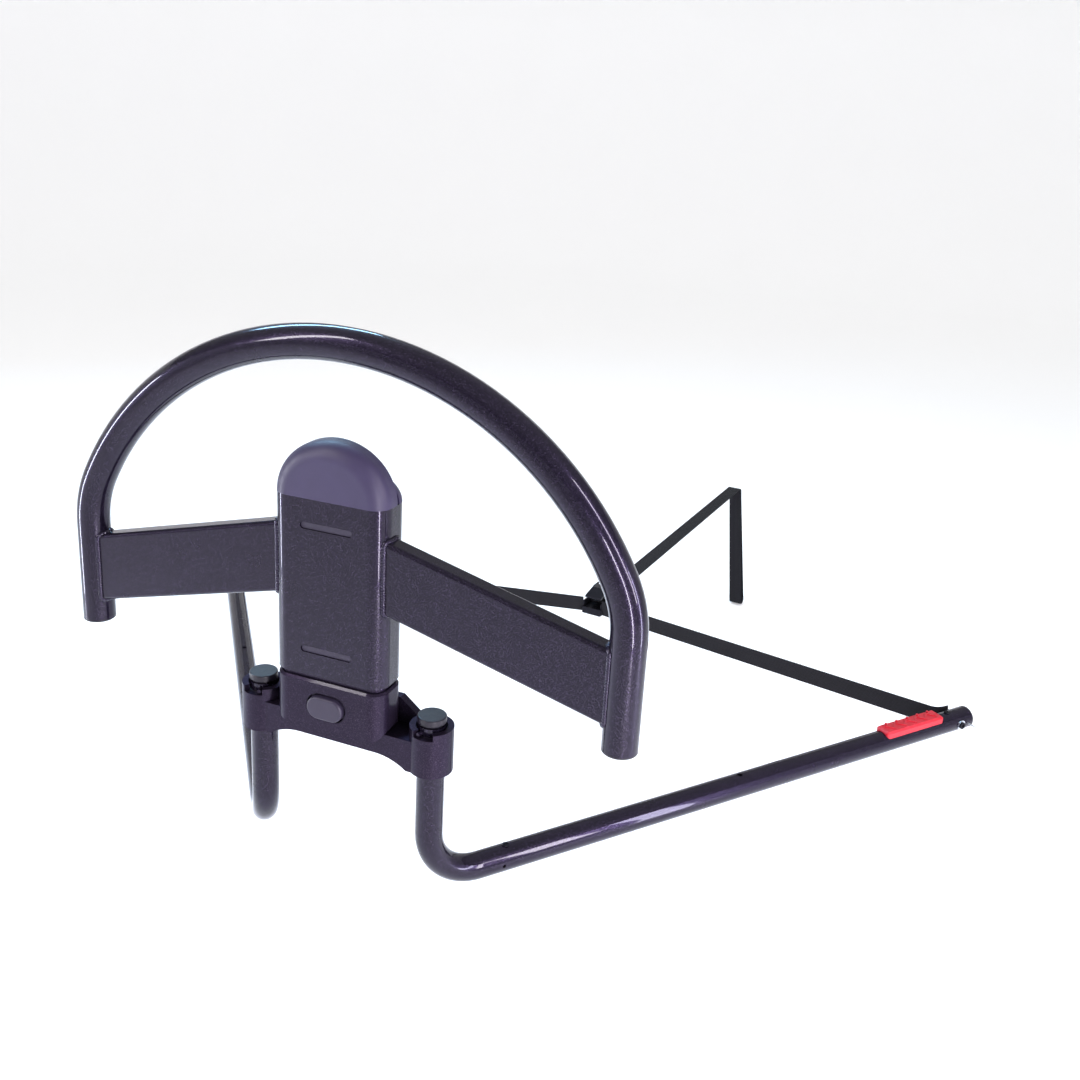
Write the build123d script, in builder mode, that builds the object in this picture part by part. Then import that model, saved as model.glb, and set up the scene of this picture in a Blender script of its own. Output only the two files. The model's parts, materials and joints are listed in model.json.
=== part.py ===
from build123d import *
import math
import os

os.makedirs("parts", exist_ok=True)

# A bed assist rail, in mm. +X runs along the bed's side, +Y towards the bed, +Z up.
# The origin is on the bed base that the legs lie on, midway between the two legs,
# in the plane of the hoop.

# ---- driving dimensions ----
hoop_tube_r = 31.75 / 2
hoop_wall = 2.0
hoop_half = 276.0  # the middle of the hoop to a leg's centre line
hoop_foot = 219.0
hoop_spring = 322.0  # where the straight legs end and the arch begins
hoop_rise = 212.0
shoulder_r = 110.0

column_width = 115.0
column_depth = 46.0
column_corner = 16.0
column_wall = 2.5
column_y = 6.4
column_bottom = 224.4
column_top = 396.0

bar_height = 67.5
bar_thickness = 20.0
bar_wall = 2.0
bar_corner = 4.0
bar_z_column = 331.2  # the crossbar's middle at the column's side
bar_z_leg = 274.5  # and at the hoop's leg

leg_x = 92.0
leg_y = 18.9
leg_r = 13.5
leg_wall = 1.6
leg_splay = 38.5  # each leg's angle outwards from +Y
leg_reach = 758.0  # from the barrel's axis to the tube's end
leg_bend = 55.0
leg_top = 186.0

barrel_r = 21.0
barrel_bottom = 139.0
barrel_top = 184.0

webbing_width = 25.0
webbing_thickness = 1.8
buckle_at = (33.0, 725.0)
bed_edge_at = (107.0, 1385.0)  # where the long strap goes over the bed's far edge
loop_bottom = -236.0

# ---- sizes that follow ----
column_front = column_y - column_depth / 2
column_back = column_y + column_depth / 2
swing = math.radians(leg_splay)
bar_run = hoop_half - column_width / 2
bar_fall = math.atan2(bar_z_column - bar_z_leg, bar_run)
fit = 0.3  # clearance between separate pieces
running = 0.05  # clearance of a turning or sliding fit


def save(piece, name):
    piece.part.label = name
    export_step(piece.part, f"parts/{name}.step")


def side_name(side):
    return "right" if side > 0 else "left"


def leg_point(side, along, across=0.0):
    """A point in plan, this far along a leg from its barrel and this far outwards of it."""
    x = leg_x + along * math.sin(swing) + across * math.cos(swing)
    y = leg_y + along * math.cos(swing) - across * math.sin(swing)
    return side * x, y


# ---- hoop: a tube with two straight legs, tight shoulders and one wide crown arc ----
crown_r = (hoop_half**2 + hoop_rise**2 - 2 * hoop_half * shoulder_r) / (2 * (hoop_rise - shoulder_r))
crown_z = hoop_spring + hoop_rise - crown_r
shoulder_x = hoop_half - shoulder_r
shoulder_turn = math.degrees(math.atan2(hoop_spring - crown_z, shoulder_x))
plug_flange = 2.0

with BuildPart() as hoop_tube:
    with BuildLine(Plane.XZ) as hoop_line:
        Line((hoop_half, hoop_foot + plug_flange), (hoop_half, hoop_spring))
        CenterArc((shoulder_x, hoop_spring), shoulder_r, 0, shoulder_turn)
        CenterArc((0, crown_z), crown_r, shoulder_turn, 180 - 2 * shoulder_turn)
        CenterArc((-shoulder_x, hoop_spring), shoulder_r, 180 - shoulder_turn, shoulder_turn)
        Line((-hoop_half, hoop_spring), (-hoop_half, hoop_foot + plug_flange))
    with BuildSketch(Plane.XY.offset(hoop_foot + plug_flange)):
        with Locations((hoop_half, 0)):
            Circle(hoop_tube_r)
            Circle(hoop_tube_r - hoop_wall, mode=Mode.SUBTRACT)
    sweep(path=hoop_line.wires()[0])
save(hoop_tube, "hoop_tube")

plug_stem = 14.0
for side in (1, -1):
    with BuildPart() as hoop_plug:
        with BuildSketch(Plane.XY.offset(hoop_foot)):
            with Locations((side * hoop_half, 0)):
                Circle(hoop_tube_r)
        extrude(amount=plug_flange)
        fillet(hoop_plug.edges().group_by(Axis.Z)[0], 1.2)
        with BuildSketch(Plane.XY.offset(hoop_foot + plug_flange)):
            with Locations((side * hoop_half, 0)):
                Circle(hoop_tube_r - hoop_wall)
                Circle(hoop_tube_r - 2 * hoop_wall, mode=Mode.SUBTRACT)
        extrude(amount=plug_stem)
    save(hoop_plug, f"hoop_plug_{side_name(side)}")

# ---- crossbars: flat tubes that fall from the column's sides to the hoop's legs ----
weld = 2.6
bar_start = column_width / 2 - column_corner - weld  # inside the column, before it is cut back


def bar_plane(side):
    """The crossbar's section plane inside the column, looking along the bar."""
    z = bar_z_column + (column_width / 2 - bar_start) * math.tan(bar_fall)
    return Plane(
        origin=(side * bar_start, 0, z),
        x_dir=(0, 1, 0),
        z_dir=(side * math.cos(bar_fall), 0, -math.sin(bar_fall)),
    )


bar_length = (hoop_half - bar_start) / math.cos(bar_fall)


def bar_solid(side, grow):
    with BuildPart() as solid:
        with BuildSketch(bar_plane(side)):
            RectangleRounded(bar_thickness + 2 * grow, bar_height + 2 * grow, bar_corner + grow)
        extrude(amount=bar_length)
    return solid.part


def column_solid(grow):
    with BuildPart() as solid:
        with BuildSketch(Plane.XY.offset(column_bottom)):
            with Locations((0, column_y)):
                RectangleRounded(
                    column_width + 2 * grow, column_depth + 2 * grow, column_corner + grow
                )
        extrude(amount=column_top - column_bottom)
    return solid.part


def hoop_leg_solid(side, grow):
    with BuildPart() as solid:
        with BuildSketch(Plane.XY.offset(hoop_foot)):
            with Locations((side * hoop_half, 0)):
                Circle(hoop_tube_r + grow)
        extrude(amount=hoop_spring - hoop_foot)
    return solid.part


weld_runs = []
for side in (1, -1):
    with BuildPart() as crossbar:
        with BuildSketch(bar_plane(side)):
            RectangleRounded(bar_thickness, bar_height, bar_corner)
            RectangleRounded(
                bar_thickness - 2 * bar_wall,
                bar_height - 2 * bar_wall,
                bar_corner - bar_wall,
                mode=Mode.SUBTRACT,
            )
        extrude(amount=bar_length)
        add(column_solid(0), mode=Mode.SUBTRACT)
        add(hoop_leg_solid(side, 0), mode=Mode.SUBTRACT)
    save(crossbar, f"crossbar_{side_name(side)}")
    # A weld run goes round the crossbar where it meets the column and the hoop's leg.
    for steel, grown in (
        (column_solid(0), column_solid(weld)),
        (hoop_leg_solid(side, 0), hoop_leg_solid(side, weld)),
    ):
        weld_runs.append((grown & bar_solid(side, weld)) - steel - bar_solid(side, 0))

with BuildPart() as weld_beads:
    for run in weld_runs:
        add(run.solids().sort_by(SortBy.VOLUME)[-1])
save(weld_beads, "weld_beads")

# ---- column: a wide tube with two slots in its face, and the plastic core in it ----
slot_length = 53.0
slot_height = 6.5
slot_heights = (370.7, 250.2)

with BuildPart() as column_tube:
    with BuildSketch(Plane.XY.offset(column_bottom)):
        with Locations((0, column_y)):
            RectangleRounded(column_width, column_depth, column_corner)
            RectangleRounded(
                column_width - 2 * column_wall,
                column_depth - 2 * column_wall,
                column_corner - column_wall,
                mode=Mode.SUBTRACT,
            )
    extrude(amount=column_top - column_bottom)
    with BuildSketch(Plane.XZ.offset(-column_front)):
        for z in slot_heights:
            with Locations((0, z)):
                SlotOverall(slot_length, slot_height)
    extrude(amount=-column_wall, mode=Mode.SUBTRACT)
save(column_tube, "column_tube")

post_width = 60.0
post_depth = 22.0
post_corner = 6.0
post_wall = 2.5
post_top = 345.0
window_width = 24.0
window_height = 16.0
core_width = column_width - 2 * column_wall - 2 * running
core_depth = column_depth - 2 * column_wall - 2 * running
core_corner = column_corner - column_wall - running
core_bottom = column_bottom
core_top = 384.0
tongue_width = 20.0
tongue_front = column_y - post_depth / 2 - 5.8
tongue_thickness = 2.0
tongue_top = 240.0
nose_height = 4.0
notch_depth = 1.8
pocket_width = 16.0
pocket_gap = 4.0  # from the post's side to a pocket
pocket_corner = 3.0
slot_pad = 1.3  # how far the core's pads stand into the column's slots
post_clearance = 5.0  # above the post's top

with BuildPart() as column_core:
    with BuildSketch(Plane.XY.offset(core_bottom)):
        with Locations((0, column_y)):
            RectangleRounded(core_width, core_depth, core_corner)
    extrude(amount=core_top - core_bottom)
    # The socket that slides over the post.
    with BuildSketch(Plane.XY.offset(core_bottom)):
        with Locations((0, column_y)):
            RectangleRounded(post_width + 2 * fit, post_depth + 2 * fit, post_corner + fit)
    extrude(amount=post_top + post_clearance - core_bottom, mode=Mode.SUBTRACT)
    # Lightening pockets either side of the socket.
    with BuildSketch(Plane.XY.offset(core_bottom)):
        for side in (1, -1):
            with Locations((side * (post_width / 2 + pocket_gap + pocket_width / 2), column_y)):
                RectangleRounded(pocket_width, post_depth, pocket_corner)
    extrude(amount=post_top - core_bottom, mode=Mode.SUBTRACT)
    # The latch's channel, with the notch that its nose springs into.
    with Locations((0, tongue_front - fit, core_bottom)):
        Box(
            tongue_width + 4 * fit,
            post_depth / 2,
            tongue_top + 3 - core_bottom,
            align=(Align.CENTER, Align.MIN, Align.MIN),
            mode=Mode.SUBTRACT,
        )
    with Locations((0, tongue_front - fit - notch_depth, tongue_top - nose_height - 2)):
        Box(
            tongue_width + 4 * fit,
            notch_depth,
            nose_height + 4,
            align=(Align.CENTER, Align.MIN, Align.MIN),
            mode=Mode.SUBTRACT,
        )
    # Raised pads show in the column's slots.
    with BuildSketch(Plane.XZ.offset(-(column_front + column_wall + running))):
        for z in slot_heights:
            with Locations((0, z)):
                SlotOverall(slot_length - 2 * fit, slot_height - 2 * fit)
    extrude(amount=slot_pad)
save(column_core, "column_core")

# ---- top cap: a tall front lobe, a lower rear lobe and the gap between them ----
cap_base = column_top
cap_rise = 52.5
rear_rise = 31.0
front_lobe = 25.0
rear_lobe = 17.4
skirt = 11.0
skirt_wall = 2.5
gap_floor = cap_base + 7.0
gap_inset = 4.0  # the gap's floor stands in from the cap's sides

with BuildPart() as top_cap:
    with BuildSketch(Plane.XZ.offset(-column_front)):
        with BuildLine():
            EllipticalCenterArc((0, cap_base), column_width / 2, cap_rise, arc_size=180)
            Line((-column_width / 2, cap_base), (column_width / 2, cap_base))
        make_face()
    extrude(amount=-front_lobe)
    fillet(top_cap.faces().sort_by(Axis.Y)[0].edges().sort_by(Axis.Z)[-1], column_corner)
    with BuildSketch(Plane.XZ.offset(-(column_back - rear_lobe))):
        with BuildLine():
            EllipticalCenterArc((0, cap_base), column_width / 2, rear_rise, arc_size=180)
            Line((-column_width / 2, cap_base), (column_width / 2, cap_base))
        make_face()
    extrude(amount=-rear_lobe)
    fillet(top_cap.faces().sort_by(Axis.Y)[-1].edges().sort_by(Axis.Z)[-1], column_corner)
    # The floor of the gap joins the lobes.
    with BuildSketch(Plane.XY.offset(cap_base)):
        with Locations((0, column_y)):
            RectangleRounded(
                column_width - 2 * gap_inset, column_depth - 3 * gap_inset, column_corner - gap_inset
            )
    extrude(amount=gap_floor - cap_base)
    with BuildSketch(Plane.XY.offset(cap_base)):
        with Locations((0, column_y)):
            RectangleRounded(core_width, core_depth, core_corner)
            RectangleRounded(
                core_width - 2 * skirt_wall,
                core_depth - 2 * skirt_wall,
                core_corner - skirt_wall,
                mode=Mode.SUBTRACT,
            )
    extrude(amount=-skirt)
save(top_cap, "top_cap")

# ---- socket collar: under the column, with a neck, the post's pocket and the button's recess ----
collar_bottom = 171.0
collar_top = 219.4
collar_floor = 5.0
neck_inset = 4.0
button_width = 37.0
button_height = 22.5
button_z = 194.5
button_recess = 4.0
button_rim = 2.0
collar_foot_corner = 12.0

with BuildPart() as socket_collar:
    with BuildSketch(Plane.XY.offset(collar_bottom)):
        with Locations((0, column_y)):
            RectangleRounded(column_width, column_depth, column_corner)
    extrude(amount=collar_top - collar_bottom)
    chamfer(socket_collar.faces().sort_by(Axis.Z)[-1].edges(), 2.0)
    # Rounded foot, seen from the front.
    with BuildSketch(Plane.XZ.offset(-column_front)):
        with Locations((0, (collar_bottom + collar_top) / 2 + collar_foot_corner)):
            RectangleRounded(
                column_width,
                collar_top - collar_bottom + 2 * collar_foot_corner,
                collar_foot_corner,
            )
    extrude(amount=-column_depth, mode=Mode.INTERSECT)
    with BuildSketch(Plane.XY.offset(collar_top)):
        with Locations((0, column_y)):
            RectangleRounded(
                column_width - 2 * neck_inset,
                column_depth - 2 * neck_inset,
                column_corner - neck_inset,
            )
    extrude(amount=column_bottom - collar_top)
    with BuildSketch(Plane.XY.offset(collar_bottom + collar_floor)):
        with Locations((0, column_y)):
            RectangleRounded(post_width, post_depth, post_corner)
        with Locations((0, tongue_front - fit)):
            Rectangle(tongue_width + 4 * fit, post_depth / 2, align=(Align.CENTER, Align.MIN))
    extrude(amount=column_bottom - collar_bottom, mode=Mode.SUBTRACT)
    # The button's recess, and the way through for its body.
    with BuildSketch(Plane.XZ.offset(-column_front)):
        with Locations((0, button_z)):
            SlotOverall(button_width + 2 * button_rim, button_height + 2 * button_rim)
    extrude(amount=-button_recess, mode=Mode.SUBTRACT)
    with BuildSketch(Plane.XZ.offset(-column_front)):
        with Locations((0, button_z)):
            SlotOverall(button_width + 2 * fit, button_height + 2 * fit)
    extrude(amount=-(column_depth - post_depth) / 2 - 1, mode=Mode.SUBTRACT)

# ---- support post: the steel tube that the handle drops over ----
with BuildPart() as support_post:
    with BuildSketch(Plane.XY.offset(collar_bottom + collar_floor)):
        with Locations((0, column_y)):
            RectangleRounded(post_width, post_depth, post_corner)
            RectangleRounded(
                post_width - 2 * post_wall,
                post_depth - 2 * post_wall,
                post_corner - post_wall,
                mode=Mode.SUBTRACT,
            )
    extrude(amount=post_top - collar_bottom - collar_floor)
    # Window behind the button for its spring.
    with BuildSketch(Plane.XZ.offset(-(column_y - post_depth / 2))):
        with Locations((0, button_z)):
            SlotOverall(window_width, window_height)
    extrude(amount=-post_wall, mode=Mode.SUBTRACT)
save(support_post, "support_post")

# ---- release button, the latch plate that it carries, and its spring ----
button_front = column_front - 4.5
button_back = column_y - post_depth / 2 - 3.6
button_travel = 3.0
spring_r = 5.5
spring_wire = 0.6
spring_coils = 8
spring_front = button_back - 4.0
spring_back = column_y + post_depth / 2 - post_wall

with BuildPart() as release_button:
    with BuildSketch(Plane.XZ.offset(-button_front)):
        with Locations((0, button_z)):
            SlotOverall(button_width, button_height)
    extrude(amount=-(button_back - button_front))
    fillet(release_button.faces().sort_by(Axis.Y)[0].edges(), 2.2)
    # Seat for the spring, and the slot that holds the latch plate.
    with BuildSketch(Plane.XZ.offset(-button_back)):
        with Locations((0, button_z)):
            Circle(spring_r + spring_wire + fit)
    extrude(amount=button_back - spring_front, mode=Mode.SUBTRACT)
    with Locations((0, tongue_front, button_z + spring_r + 3)):
        Box(
            tongue_width,
            tongue_thickness,
            button_height,
            align=(Align.CENTER, Align.MIN, Align.MIN),
            mode=Mode.SUBTRACT,
        )
save(release_button, "release_button")

with BuildPart() as latch_plate:
    with Locations((0, tongue_front, button_z + spring_r + 3)):
        Box(
            tongue_width,
            tongue_thickness,
            tongue_top - button_z - spring_r - 3,
            align=(Align.CENTER, Align.MIN, Align.MIN),
        )
    chamfer(latch_plate.edges().group_by(Axis.Z)[-1].sort_by(Axis.Y)[-1], 1.2)
save(latch_plate, "latch_plate")

spring_length = spring_back - spring_front - 2 * spring_wire
with BuildPart() as button_spring:
    with BuildLine() as coil_line:
        Helix(
            pitch=spring_length / spring_coils,
            height=spring_length,
            radius=spring_r,
            center=(0, spring_front + spring_wire, button_z),
            direction=(0, 1, 0),
        )
    with BuildSketch(Plane(origin=coil_line.line @ 0, z_dir=coil_line.line % 0)):
        Circle(spring_wire)
    sweep(path=coil_line.line, is_frenet=True)
save(button_spring, "button_spring")

# ---- bracket: a beam under the collar, a plate behind it and a barrel at each side ----
beam_front = 2.0
beam_back = leg_y + barrel_r - 1.5
beam_bottom = 149.5
beam_top = collar_bottom
plate_front = column_back
plate_top = 197.0
bush_wall = 1.5
bush_r = leg_r + running + bush_wall
barrel_inner_x = leg_x - barrel_r
notch_bottom = barrel_top - 6.0
notch_half_angle = 29.0
beam_sweep = 30.0

with BuildPart() as bracket:
    # Beam, sweeping down into the foot of each barrel.
    with BuildSketch(Plane.XZ.offset(-beam_front)):
        with BuildLine():
            Line((0, beam_bottom), (barrel_inner_x - beam_sweep, beam_bottom))
            TangentArc(
                (barrel_inner_x - beam_sweep, beam_bottom),
                (barrel_inner_x + 3, barrel_bottom),
                tangent=(1, 0),
            )
            Polyline(
                (barrel_inner_x + 3, barrel_bottom),
                (leg_x, barrel_bottom),
                (leg_x, beam_top),
                (0, beam_top),
            )
            mirror(about=Plane.YZ)
        make_face()
    extrude(amount=-(beam_back - beam_front))
    # Plate behind the collar, with a shoulder that slopes down to each barrel.
    with BuildSketch(Plane.XZ.offset(-plate_front)):
        with BuildLine():
            Polyline(
                (-leg_x, beam_bottom),
                (leg_x, beam_bottom),
                (leg_x, barrel_top - 4),
                (barrel_inner_x + 4, barrel_top - 4),
                (column_width / 2 - 4, plate_top),
                (4 - column_width / 2, plate_top),
                (-barrel_inner_x - 4, barrel_top - 4),
                (-leg_x, barrel_top - 4),
                close=True,
            )
        make_face()
    extrude(amount=-(beam_back - plate_front))
    with BuildSketch(Plane.XY.offset(barrel_bottom)):
        for side in (1, -1):
            with Locations((side * leg_x, leg_y)):
                Circle(barrel_r)
    extrude(amount=barrel_top - barrel_bottom)
    with BuildSketch(Plane.XY.offset(barrel_bottom)):
        for side in (1, -1):
            with Locations((side * leg_x, leg_y)):
                Circle(bush_r)
    extrude(amount=plate_top - barrel_bottom, mode=Mode.SUBTRACT)
    # Cut-out in the front of each rim, in which the leg's stop pin turns.
    for side in (1, -1):
        with BuildSketch(Plane.XY.offset(notch_bottom)):
            with BuildLine():
                left = (
                    side * leg_x - 2 * barrel_r * math.sin(math.radians(notch_half_angle)),
                    leg_y - 2 * barrel_r * math.cos(math.radians(notch_half_angle)),
                )
                right = (2 * side * leg_x - left[0], left[1])
                Polyline((side * leg_x, leg_y), left, right, close=True)
            make_face()
        extrude(amount=plate_top - notch_bottom, mode=Mode.SUBTRACT)

# ---- bushes that the legs turn in ----
for side in (1, -1):
    with BuildPart() as barrel_bush:
        with BuildSketch(Plane.XY.offset(barrel_bottom)):
            with Locations((side * leg_x, leg_y)):
                Circle(bush_r)
                Circle(leg_r + running, mode=Mode.SUBTRACT)
        extrude(amount=notch_bottom - barrel_bottom)
    save(barrel_bush, f"barrel_bush_{side_name(side)}")

# ---- screws that hold the collar to the bracket, up through the beam ----
screw_r = 2.5
screw_head_r = 4.5
screw_head = 5.0
screw_sink = 3.0
screw_grip = 11.0  # thread in the collar
screw_x = 42.0
screw_y = column_y + 8
screw_top = beam_top + screw_grip


def screw_shape(head_radius, head_from):
    with BuildPart() as shape:
        for side in (1, -1):
            with BuildSketch(Plane.XY.offset(head_from)):
                with Locations((side * screw_x, screw_y)):
                    Circle(head_radius)
            extrude(amount=beam_bottom + screw_sink + screw_head - head_from)
            with BuildSketch(Plane.XY.offset(head_from)):
                with Locations((side * screw_x, screw_y)):
                    Circle(screw_r)
            extrude(amount=screw_top - head_from)
    return shape.part


with BuildPart() as drilled_bracket:
    add(bracket.part)
    add(screw_shape(screw_head_r + fit, beam_bottom), mode=Mode.SUBTRACT)
save(drilled_bracket, "bracket")

with BuildPart() as drilled_collar:
    add(socket_collar.part)
    add(screw_shape(screw_head_r + fit, beam_bottom), mode=Mode.SUBTRACT)
save(drilled_collar, "socket_collar")

with BuildPart() as bracket_screws:
    add(screw_shape(screw_head_r, beam_bottom + screw_sink))
    with BuildSketch(Plane.XY.offset(beam_bottom + screw_sink)):
        for side in (1, -1):
            with Locations((side * screw_x, screw_y)):
                RegularPolygon(2.3, 6)
    extrude(amount=screw_head / 2, mode=Mode.SUBTRACT)
save(bracket_screws, "bracket_screws")

# ---- legs: upright in the barrel, one bend, then level along the bed base ----
pad_start = 609.0
pad_end = 706.0
pad_width = 21.0
pad_rise = 3.5
pad_skirt = 6.0  # how far the pad reaches down the tube's sides
pad_corner = 4.0
pad_edge = 2.2
nub_count = 5
nub_r = 1.6
nub_inset = 4.0
rib_count = 9
rib_pitch = 9.0
rib_swing = 4.5
rib_width = 2.4
rib_rise = 1.0
ring_hole_at = 722.0
bolt_at = 736.0
cotter_at = 748.0
dimple_at = 86.0
side_hole_at = 78.0
side_hole_r = 1.8
middle_hole_at = 387.0
middle_hole_r = 3.0
bolt_r = 2.5
bolt_head_r = 4.4
bolt_head = 2.2
bolt_hex_r = 2.2
bolt_over = 1.0  # thread beyond the nut
washer_r = 6.2
washer = 1.0
nut_r = 4.6
nut = 4.0
small_screw_r = 2.0
small_head_r = 3.5
small_head = 1.2
driver_slot = (4.2, 0.8)
wire_r = 0.9
cotter_end = 14.0  # how far its end stands out from the tube
eye_gap = 2.0
eye_start = 3.0  # the eye's wire rises over this run
eye_end = 8.0
eye_rise = 4.0
eye_fall = 3.0
eye_bend = 1.6
plug_cap = 2.0
pin_r = 2.0
pin_z = notch_bottom + pin_r + 0.6
pin_turn = math.radians(leg_splay / 2)
pin_reach = barrel_r - 2.5
plug_head_r = 13.8
plug_waist_r = 11.0
plug_depth = 24.0
head_z = 188.5
head_top = 194.5


def along_plane(side, along, z):
    """A plane square to a leg, its normal pointing to the leg's free end."""
    return Plane(
        origin=(*leg_point(side, along), z),
        x_dir=(0, 0, 1),
        z_dir=(side * math.sin(swing), math.cos(swing), 0),
    )


def level_plane(side, along, z):
    """A level plane on a leg's axis, its local x running along the leg."""
    return Plane(
        origin=(*leg_point(side, along), z),
        x_dir=(side * math.sin(swing), math.cos(swing), 0),
        z_dir=(0, 0, 1),
    )


def across_plane(side, along, outwards):
    """A plane along a leg's side, its normal pointing outwards across the leg."""
    return Plane(
        origin=(*leg_point(side, along, outwards), leg_r),
        x_dir=(side * math.sin(swing), math.cos(swing), 0),
        z_dir=(side * math.cos(swing), -math.sin(swing), 0),
    )


def stop_pin_plane(side):
    """The stop pin's section on the barrel's axis, looking along the pin."""
    return Plane(
        origin=(side * leg_x, leg_y, pin_z),
        x_dir=(0, 0, 1),
        z_dir=(-side * math.sin(pin_turn), -math.cos(pin_turn), 0),
    )


for side in (1, -1):
    name = side_name(side)
    with BuildPart() as leg_tube:
        with BuildLine() as leg_line:
            FilletPolyline(
                (side * leg_x, leg_y, leg_top),
                (side * leg_x, leg_y, leg_r),
                (*leg_point(side, leg_reach - plug_cap), leg_r),
                radius=leg_bend,
            )
        with BuildSketch(Plane.XY.offset(leg_top)):
            with Locations((side * leg_x, leg_y)):
                Circle(leg_r)
                Circle(leg_r - leg_wall, mode=Mode.SUBTRACT)
        sweep(path=leg_line.wires()[0])
        # Holes down through the top wall.
        for along, radius in (
            (dimple_at, small_screw_r),
            (middle_hole_at, middle_hole_r),
            (ring_hole_at, small_screw_r),
        ):
            with BuildSketch(level_plane(side, along, leg_r)):
                Circle(radius)
            extrude(amount=leg_r + 1, mode=Mode.SUBTRACT)
        # Holes through both sides: the drain hole, the end bolt and the cotter pin.
        for along, radius in ((side_hole_at, side_hole_r), (bolt_at, bolt_r), (cotter_at, wire_r)):
            with BuildSketch(across_plane(side, along, 0)):
                Circle(radius)
            extrude(amount=leg_r + 1, both=True, mode=Mode.SUBTRACT)
        with BuildSketch(stop_pin_plane(side)):
            Circle(pin_r)
        extrude(amount=leg_r + 1, mode=Mode.SUBTRACT)
    save(leg_tube, f"leg_tube_{name}")

    with BuildPart() as pivot_plug:
        with BuildSketch(Plane.XY.offset(leg_top - plug_depth)):
            with Locations((side * leg_x, leg_y)):
                Circle(leg_r - leg_wall)
        extrude(amount=plug_depth)
        with BuildSketch(Plane.XY.offset(leg_top)):
            with Locations((side * leg_x, leg_y)):
                Circle(plug_waist_r)
        extrude(amount=head_z - leg_top)
        with BuildSketch(Plane.XY.offset(head_z)):
            with Locations((side * leg_x, leg_y)):
                Circle(plug_head_r)
        extrude(amount=head_top - head_z)
        fillet(pivot_plug.faces().sort_by(Axis.Z)[-1].edges(), 1.2)
        with BuildSketch(stop_pin_plane(side)):
            Circle(pin_r)
        extrude(amount=leg_r, mode=Mode.SUBTRACT)
    save(pivot_plug, f"pivot_plug_{name}")

    with BuildPart() as stop_pin:
        with BuildSketch(stop_pin_plane(side)):
            Circle(pin_r)
        extrude(amount=pin_reach)
    save(stop_pin, f"stop_pin_{name}")

    # Cap over the leg's open end, with a short ring inside the tube.
    with BuildPart() as leg_plug:
        with BuildSketch(along_plane(side, leg_reach - plug_cap, leg_r)):
            Circle(leg_r)
        extrude(amount=plug_cap)
        with BuildSketch(along_plane(side, leg_reach - plug_cap, leg_r)):
            Circle(leg_r - leg_wall)
            Circle(leg_r - 2 * leg_wall, mode=Mode.SUBTRACT)
        extrude(amount=-plug_cap)
    save(leg_plug, f"leg_plug_{name}")

    # Rubber pad saddled over the tube, with a row of nubs along it.
    with BuildPart() as grip_pad:
        with BuildSketch(level_plane(side, (pad_start + pad_end) / 2, 2 * leg_r - pad_skirt)):
            RectangleRounded(pad_end - pad_start, pad_width, pad_corner)
        extrude(amount=pad_skirt + pad_rise)
        chamfer(grip_pad.faces().sort_by(Axis.Z)[-1].edges(), pad_edge)
        with BuildSketch(along_plane(side, pad_start - 1, leg_r)):
            Circle(leg_r)
        extrude(amount=pad_end - pad_start + 2, mode=Mode.SUBTRACT)
        with BuildSketch(level_plane(side, (pad_start + pad_end) / 2, 2 * leg_r + pad_rise)):
            with BuildLine():
                zigzag = [
                    (rib_pitch * (k - rib_count / 2), rib_swing * (-1) ** k)
                    for k in range(rib_count + 1)
                ]
                Polyline(*zigzag)
            trace(line_width=rib_width)
        extrude(amount=rib_rise)
        with BuildSketch(level_plane(side, (pad_start + pad_end) / 2, 2 * leg_r + pad_rise)):
            with Locations((0, side * (pad_width / 2 - nub_inset))):
                with GridLocations(2 * rib_pitch, 1, nub_count, 1):
                    Circle(nub_r)
        extrude(amount=2 * rib_rise)
    save(grip_pad, f"grip_pad_{name}")

    # Bolt across the leg: washer and head outside, strap and nut inside.
    with BuildPart() as bolt_washer:
        with BuildSketch(across_plane(side, bolt_at, leg_r)):
            Circle(washer_r)
            Circle(bolt_r, mode=Mode.SUBTRACT)
        extrude(amount=washer)
    save(bolt_washer, f"bolt_washer_{name}")
    with BuildPart() as end_bolt:
        with BuildSketch(across_plane(side, bolt_at, leg_r + washer)):
            Circle(bolt_head_r)
        extrude(amount=bolt_head)
        with BuildSketch(across_plane(side, bolt_at, leg_r + washer + bolt_head)):
            RegularPolygon(bolt_hex_r, 6)
        extrude(amount=-bolt_head / 2, mode=Mode.SUBTRACT)
        with BuildSketch(across_plane(side, bolt_at, leg_r + washer)):
            Circle(bolt_r)
        extrude(amount=-(2 * leg_r + washer + webbing_thickness + 2 * fit + nut + bolt_over))
    save(end_bolt, f"end_bolt_{name}")
    with BuildPart() as bolt_nut:
        with BuildSketch(across_plane(side, bolt_at, -leg_r - webbing_thickness - 2 * fit)):
            RegularPolygon(nut_r, 6)
            Circle(bolt_r, mode=Mode.SUBTRACT)
        extrude(amount=-nut)
    save(bolt_nut, f"bolt_nut_{name}")

    # Small screws in the tube's top.
    with BuildPart() as leg_screws:
        for along in (dimple_at, ring_hole_at):
            with BuildSketch(level_plane(side, along, 2 * leg_r - leg_wall - 1)):
                Circle(small_screw_r)
            extrude(amount=leg_wall + 1)
            with BuildSketch(level_plane(side, along, 2 * leg_r)):
                Circle(small_head_r)
                Rectangle(*driver_slot, mode=Mode.SUBTRACT)
            extrude(amount=small_head)
            with BuildSketch(level_plane(side, along, 2 * leg_r - 0.2)):
                Circle(small_screw_r)
            extrude(amount=0.8)
    save(leg_screws, f"leg_screws_{name}")

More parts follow.
